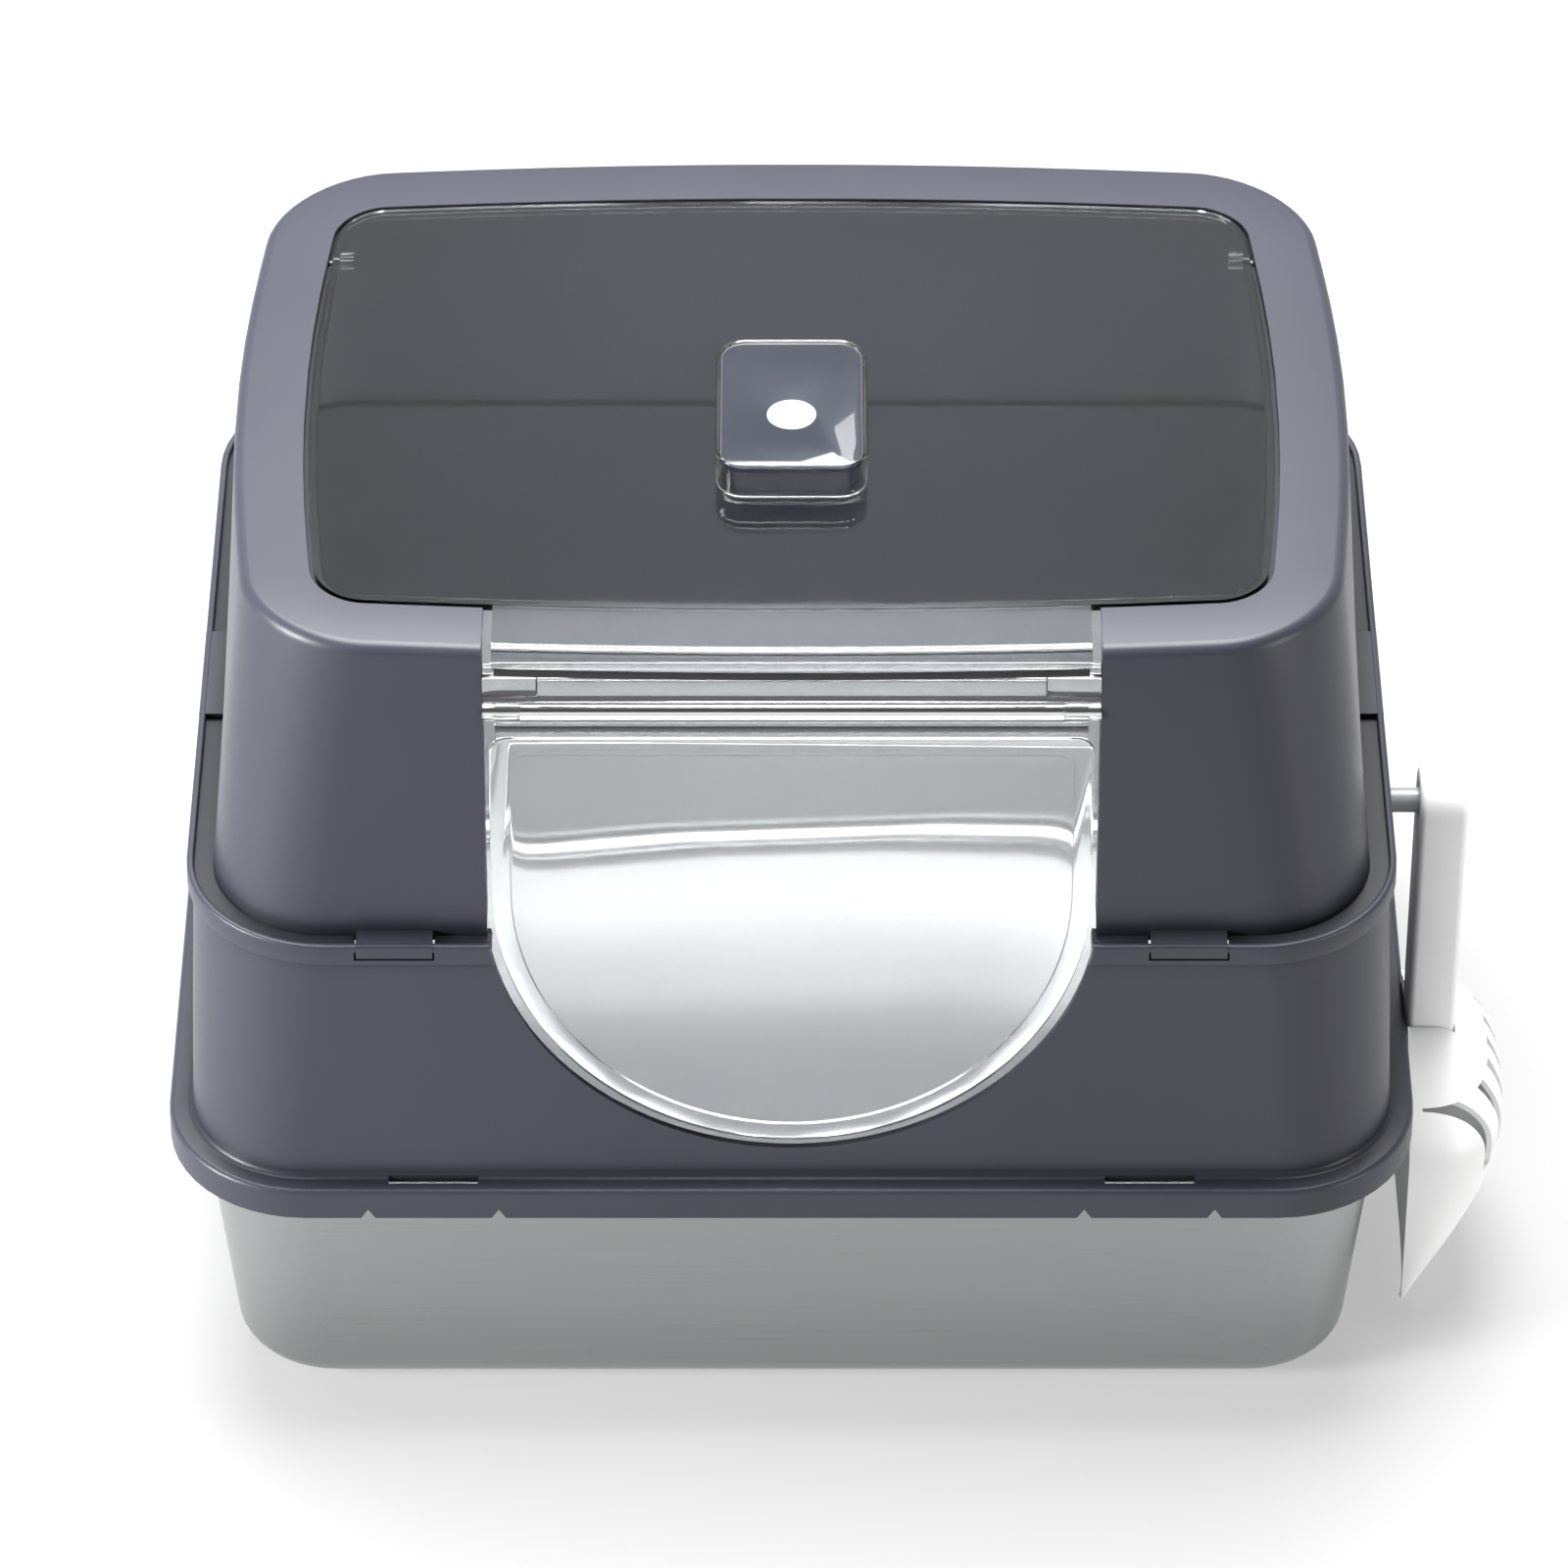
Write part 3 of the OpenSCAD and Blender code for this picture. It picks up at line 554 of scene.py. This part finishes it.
for tool in (dict(radius=rod_bore, depth=0.2600, location=(0, door_y, door_z)),
             dict(radius=pin_bore, depth=0.4400, location=(0, hinge_y, hinge_z))):
    cut_away(hood, cutter(bpy.ops.mesh.primitive_cylinder_add, vertices=48,
                          rotation=(0, math.pi / 2, 0), **tool))
smooth(hood)
dress(hood, slate)
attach(hood, "hood")
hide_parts("hood")

# --- Lid bumpers and hinge pins ------------------------------------------------------------
# Two soft black plugs pressed in the shelf at the corners of the notch, and two cut lengths of
# steel wire on which the lid turns, their dark colour painted shade that damps their glints.
# Their solids are right and get their finish here.


def black_rubber():
    """Dull soft rubber with a fine uneven skin."""
    material, tree, shader = new_material("black_rubber", (0.012, 0.012, 0.013), 0.7)
    skin = noise_at(tree, 700.0)
    tree.links.new(spread(tree, skin, 0.6, 0.8), shader.inputs["Roughness"])
    colour = tint(tree, skin, (0.010, 0.010, 0.011), (0.016, 0.016, 0.017))
    tree.links.new(colour, shader.inputs["Base Color"])
    relief(tree, shader, skin, 0.00005, 0.5)
    return material


def drawn_steel(name, shade, roughness):
    """Drawn steel wire with faint die lines along it."""
    grey = (shade, shade, shade)
    material, tree, shader = new_material(name, grey, roughness, 1.0)
    lines = noise_at(tree, 1.0, (6, 2200, 2200))
    light = tuple(1.1 * g for g in grey)
    gloss = spread(tree, lines, 0.8 * roughness, 1.3 * roughness)
    tree.links.new(gloss, shader.inputs["Roughness"])
    tree.links.new(tint(tree, lines, grey, light), shader.inputs["Base Color"])
    relief(tree, shader, lines, 0.00001, 0.4)
    return material


rubber = black_rubber()
# Painted shade: the pins' steel is made near black to damp their bright glints through the lid.
dark_wire = drawn_steel("dark_wire_steel_painted_shade", 0.10, 0.35)
for node in ("lid_bumper_left", "lid_bumper_right"):
    dress(frame["nodes"][node], rubber)
for node in ("lid_hinge_pin_left", "lid_hinge_pin_right"):
    dress(frame["nodes"][node], dark_wire)

# --- Door header, hinge rod and bushes -----------------------------------------------------
# A clear moulded strip with a shelf and end blocks closes the space over the door. Below it
# runs the steel rod, with a clear bush at each end between the door's knuckle and the hood.


def clear_plastic(name, colour, roughness):
    """Clear polished moulding, with the faint waves that moulding leaves."""
    material, tree, shader = new_material(name, colour, roughness)
    shader.inputs["Transmission Weight"].default_value = 1.0
    shader.inputs["IOR"].default_value = 1.47
    waves = noise_at(tree, 14.0, detail=1.0)
    haze = spread(tree, noise_at(tree, 40.0), roughness, roughness + 0.02)
    tree.links.new(haze, shader.inputs["Roughness"])
    light = tuple(min(1.0, c * 1.02) for c in colour)
    tree.links.new(tint(tree, waves, colour, light), shader.inputs["Base Color"])
    relief(tree, shader, waves, 0.0002, 0.25)
    return material


def refined(node, name, width, degrees=40, segments=3):
    """A copy of a CAD solid with its flats made whole and its edges rounded."""
    piece = frame["nodes"][node].copy()
    piece.data = piece.data.copy()
    piece.name = name
    piece.data.name = name
    piece.parent = None
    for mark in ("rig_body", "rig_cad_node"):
        del piece[mark]
    bpy.context.scene.collection.objects.link(piece)
    bpy.ops.object.select_all(action="DESELECT")
    piece.select_set(True)
    bpy.context.view_layer.objects.active = piece
    bpy.ops.object.mode_set(mode="EDIT")
    bpy.ops.mesh.select_all(action="SELECT")
    bpy.ops.mesh.remove_doubles(threshold=1e-6)
    bpy.ops.mesh.dissolve_limited(angle_limit=math.radians(0.5))
    bpy.ops.object.mode_set(mode="OBJECT")
    break_edges(piece, width, degrees, segments)
    smooth(piece)
    return piece


clear = clear_plastic("clear_plastic", (0.98, 0.985, 0.985), 0.02)
header = refined("door_header", "clear_door_header", 0.0005)
dress(header, clear)
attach(header, "hood")
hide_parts("door_header")
for node in ("door_bush_left", "door_bush_right"):
    dress(frame["nodes"][node], clear)
dress(frame["nodes"]["door_hinge_rod"], drawn_steel("bright_steel_wire", 0.70, 0.18))

# --- Door ----------------------------------------------------------------------------------
# A clear moulded flap with a straight top and a round bottom. A thicker lip runs round it,
# and the tube along its top ends in the knuckles that hang on the rod.
door = refined("door_flap", "clear_door_flap", 0.0006)
dress(door, clear)
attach(door, "door")
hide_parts("door_flap")

# --- Lid -----------------------------------------------------------------------------------
# A smoked clear panel that fills the window, with a fine line moulded inside its edge. Its
# tongue turns down over the door opening, with a black seal under its front edge. Two ground
# lugs under its rear turn on the pins.
pane = first_ring("smoked_lid", 0.1983, 0.1418, 0.0180, 0.3785, keep_face=True)
next_ring(0.1983, 0.1418, 0.0180, 0.38135)
next_ring(0.19815, 0.14165, 0.01785, top_z)
next_ring(0.1951, 0.1386, 0.0148, top_z)
next_ring(0.19505, 0.13855, 0.01475, 0.38138)
next_ring(0.1948, 0.1383, 0.0145, 0.38138)
next_ring(0.19475, 0.13825, 0.01445, top_z)
bpy.ops.mesh.edge_face_add()
add_sections(section_xs, section_ys)
close_shell(pane)
bow_sides(pane)


def tongue_outline():
    """The tongue from the side: flat, then turned down over its front edge."""
    radius, thick = 0.0070, 0.0026
    front, back = -0.1723, -0.1353
    low, top = 0.3720, top_z - 0.0003
    at_y, at_z = front + radius, top - radius
    outer = [(at_y + radius * math.cos(t), at_z + radius * math.sin(t))
             for t in (math.radians(90 + 11.25 * i) for i in range(9))]
    inner = [(at_y + (radius - thick) * math.cos(t), at_z + (radius - thick) * math.sin(t))
             for t in (math.radians(180 - 11.25 * i) for i in range(9))]
    return ([(back, top)] + outer + [(front, low), (front + thick, low)]
            + inner + [(back, top - thick)])


def bowed_extrusion(name, outline, half_x, stations=16):
    """Draws an outline across the width and bows it like the hood's front."""
    data = bpy.data.meshes.new(name)
    first = [(-half_x, y, z) for y, z in outline]
    data.from_pydata(first, [], [list(range(len(first)))])
    strip = bpy.data.objects.new(name, data)
    bpy.context.scene.collection.objects.link(strip)
    bpy.ops.object.select_all(action="DESELECT")
    strip.select_set(True)
    bpy.context.view_layer.objects.active = strip
    bpy.ops.object.mode_set(mode="EDIT")
    bpy.ops.mesh.select_all(action="SELECT")
    step = 2 * half_x / stations
    for _ in range(stations):
        bpy.ops.mesh.extrude_region_move(TRANSFORM_OT_translate={"value": (step, 0, 0)})
    close_shell(strip)
    for v in strip.data.vertices:
        v.co.y += front_bow * (v.co.x / top_half_x) ** 2
    return strip


add_on(pane, bowed_extrusion("tongue", tongue_outline(), 0.1195))
lug_x = boss_x - 0.0043
lug_w = 0.006
lug_r = 0.0032
for side in (-1, 1):
    a, b = sorted((side * (lug_x - lug_w), side * lug_x))
    add_on(pane, box_cutter((a, hinge_y - 0.0029, hinge_z), (b, hinge_y + 0.0029, 0.3790)))
    add_on(pane, cutter(bpy.ops.mesh.primitive_cylinder_add, vertices=48, radius=lug_r, depth=lug_w,
                        location=((a + b) / 2, hinge_y, hinge_z), rotation=(0, math.pi / 2, 0)))
cut_away(pane, cutter(
    bpy.ops.mesh.primitive_cylinder_add, vertices=48, radius=pin_bore, depth=0.398,
    location=(0, hinge_y, hinge_z), rotation=(0, math.pi / 2, 0)))
smooth(pane)
dress(pane, clear_plastic("smoked_plastic", (0.70, 0.71, 0.73), 0.03))
# Painted shade: the lugs get a darker, rougher copy of the smoked plastic, whose darker colour
# damps their bright glints.
pane.data.materials.append(clear_plastic("lug_plastic_painted_shade", (0.30, 0.30, 0.31), 0.45))
for face in pane.data.polygons:
    if face.center.z < 0.3784 and abs(face.center.y - hinge_y) < 0.004:
        face.material_index = 1
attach(pane, "lid")
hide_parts("lid")
dress(frame["nodes"]["lid_seal"], rubber)

# --- Knob ----------------------------------------------------------------------------------
# A clear box-shaped boss welded on the lid. A slate-blue plate shows through its top, with a
# white dot set in it.


def blue_plastic():
    """Slate-blue satin plastic seen through the clear top."""
    material, tree, shader = new_material("knob_blue_plastic", (0.009, 0.015, 0.034), 0.45)
    tone = noise_at(tree, 30.0)
    colour = tint(tree, tone, (0.008, 0.014, 0.032), (0.010, 0.016, 0.036))
    tree.links.new(colour, shader.inputs["Base Color"])
    shader.inputs["Specular IOR Level"].default_value = 0.2
    tree.links.new(spread(tree, tone, 0.40, 0.52), shader.inputs["Roughness"])
    relief(tree, shader, noise_at(tree, 1100.0), 0.00002, 0.3)
    return material


def white_plastic(name):
    """Smooth white moulded plastic with a trace of flow marks."""
    material, tree, shader = new_material(name, (0.92, 0.92, 0.915), 0.35)
    tone = noise_at(tree, 16.0)
    colour = tint(tree, tone, (0.90, 0.90, 0.895), (0.94, 0.94, 0.935))
    gloss = spread(tree, noise_at(tree, 300.0), 0.30, 0.42)
    tree.links.new(colour, shader.inputs["Base Color"])
    tree.links.new(gloss, shader.inputs["Roughness"])
    relief(tree, shader, noise_at(tree, 1200.0), 0.00002, 0.25)
    return material


knob = refined("knob_shell", "clear_knob", 0.0012)
dress(knob, clear)
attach(knob, "lid")
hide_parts("knob_shell")
plate = refined("knob_plate", "blue_knob_plate", 0.0003)
for v in plate.data.vertices:
    v.co.z -= 0.0003
dress(plate, blue_plastic())
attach(plate, "lid")
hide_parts("knob_plate")
dot = refined("knob_dot", "white_knob_dot", 0.0001)
for v in dot.data.vertices:
    v.co.z -= 0.0001
dress(dot, white_plastic("white_dot"))
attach(dot, "lid")
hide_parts("knob_dot")

# --- Scoop ---------------------------------------------------------------------------------
# A white moulded scoop: a solid handle with the hole it hangs by, and a thin slotted bowl
# whose open side faces the box.
handle = refined("scoop_handle", "white_scoop_handle", 0.0028, segments=4)
white = white_plastic("white_scoop_plastic")
dress(handle, white)
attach(handle, "scoop")
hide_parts("scoop_handle")

blade_top, blade_l = 0.1240, 0.115
bowl_x, bowl_y = 0.2606, -0.082
heel = 0.38
end_share = 0.08


def bowl_point(u, angle):
    """A point of the bowl's outside at share u of its length and an angle round it."""
    if u < heel:
        swell = math.sin(math.pi / 2 * u / heel)
        half, depth = 0.017 + 0.043 * swell, 0.021 + 0.0218 * swell
    else:
        fall = math.cos(math.pi / 2 * (u - heel) / (1 - heel))
        half, depth = 0.060, 0.0028 + 0.0400 * max(0.0, fall) ** 0.8
    sine, cosine = math.sin(angle), math.cos(angle)
    return (bowl_x + depth * max(0.0, sine) ** 0.75,
            bowl_y + half * math.copysign(abs(cosine) ** 0.75, cosine),
            blade_top - blade_l * u)


bpy.ops.object.select_all(action="DESELECT")
bpy.ops.mesh.primitive_grid_add(x_subdivisions=48, y_subdivisions=48, size=1)
bowl = bpy.context.object
bowl.name = bowl.data.name = "white_scoop_blade"
for v in bowl.data.vertices:
    row, turn = v.co.x + 0.5, (v.co.y + 0.5) * math.pi
    if row < end_share:
        x, y, z = bowl_point(0, turn)
        v.co = (bowl_x + (x - bowl_x) * row / end_share,
                bowl_y + (y - bowl_y) * row / end_share, z)
    else:
        v.co = bowl_point((row - end_share) / (1 - end_share), turn)
bpy.ops.object.mode_set(mode="EDIT")
bpy.ops.mesh.select_all(action="SELECT")
bpy.ops.mesh.remove_doubles(threshold=1e-5)
bpy.ops.mesh.normals_make_consistent(inside=False)
bpy.ops.object.mode_set(mode="OBJECT")
middle = bowl.data.polygons[len(bowl.data.polygons) // 2]
if middle.normal.x < 0:
    bowl.data.flip_normals()
skin = bowl.modifiers.new("skin", "SOLIDIFY")
skin.thickness = 0.0021
skin.offset = -1
bpy.ops.object.modifier_apply(modifier="skin")
slot_w = 0.0055
slot_pitch = 0.0145
for i in range(-3, 4):
    slot_y = bowl_y + i * slot_pitch
    tool = box_cutter((0.266, slot_y - slot_w / 2, 0.0700), (0.320, slot_y + slot_w / 2, 0.1040))
    bpy.ops.object.transform_apply(location=True, rotation=True, scale=True)
    cut_away(bowl, tool)
cut_away(bowl, box_cutter((0.2500, bowl_y - 0.0152, 0.1118), (0.2808, bowl_y + 0.0152, 0.1300)))
smooth(bowl, 40)
dress(bowl, white)
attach(bowl, "scoop")
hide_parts("scoop_blade")

# --- Studio --------------------------------------------------------------------------------
# A pale floor with a glow of its own under a sky that is brighter behind. A large soft light
# above and behind lights the top, two low ones the sides, and a small one inside the box stands
# for the daylight that comes in through the window.
bpy.ops.object.select_all(action="DESELECT")
bpy.ops.mesh.primitive_plane_add(size=30, location=(0, 8, -0.0002))
floor = bpy.context.object
floor.name = "studio_floor"
paper, paper_tree, paper_shader = new_material("studio_paper", (0.24, 0.24, 0.24), 0.9)
paper_shader.inputs["Emission Color"].default_value = (1, 1, 1, 1)
paper_shader.inputs["Emission Strength"].default_value = 0.42
relief(paper_tree, paper_shader, noise_at(paper_tree, 200.0), 0.0001, 0.2)
dress(floor, paper)

world = bpy.data.worlds.new("studio_world")
bpy.context.scene.world = world
world.use_nodes = True
sky = world.node_tree
way_node = sky.nodes.new("ShaderNodeTexCoord")
split = sky.nodes.new("ShaderNodeSeparateXYZ")
fade = sky.nodes.new("ShaderNodeMapRange")
fade.inputs["From Min"].default_value = -0.6
fade.inputs["From Max"].default_value = 0.6
fade.inputs["To Min"].default_value = 0.08
fade.inputs["To Max"].default_value = 0.55
sky.links.new(way_node.outputs["Generated"], split.inputs["Vector"])
sky.links.new(split.outputs["Y"], fade.inputs["Value"])
sky.links.new(fade.outputs["Result"], sky.nodes["Background"].inputs["Strength"])
sky.nodes["Background"].inputs["Color"].default_value = (1, 1, 1, 1)


def soft_light(name, place, aim, size, power):
    """A square soft box that faces a point; returns it."""
    lamp = bpy.data.lights.new(name, "AREA")
    lamp.shape = "SQUARE"
    lamp.size = size
    lamp.energy = power
    light = bpy.data.objects.new(name, lamp)
    light.location = place
    way = (light.location - Vector(aim)).normalized()
    light.rotation_euler = way.to_track_quat("Z", "Y").to_euler()
    bpy.context.scene.collection.objects.link(light)
    return light


soft_light("top_rear_softbox", (-0.10, 0.75, 2.7), (0, 0, 0.25), 1.9, 235)
soft_light("front_left_softbox", (-2.1, -0.9, 0.80), (-0.20, -0.10, 0.32), 0.6, 110)
soft_light("front_right_softbox", (2.1, -1.3, 0.40), (0.25, -0.10, 0.15), 0.6, 16)
daylight = soft_light("light_through_window", (0, -0.060, 0.285), (0, 0.190, 0.11), 0.36, 0.80)
daylight.data.shape = "RECTANGLE"
daylight.data.size_y = 0.17
daylight.visible_camera = False
daylight.visible_transmission = False

camera_data = bpy.data.cameras.new("camera")
camera_data.lens = 191.25
camera_data.sensor_width = 36
camera_data.clip_end = 60
camera = bpy.data.objects.new("camera", camera_data)
camera.location = (-0.0031, -2.7711, 2.4187)
camera.rotation_euler = (math.radians(51.03), 0, 0)
bpy.context.scene.collection.objects.link(camera)
bpy.context.scene.camera = camera
bpy.context.scene.view_settings.view_transform = "Standard"
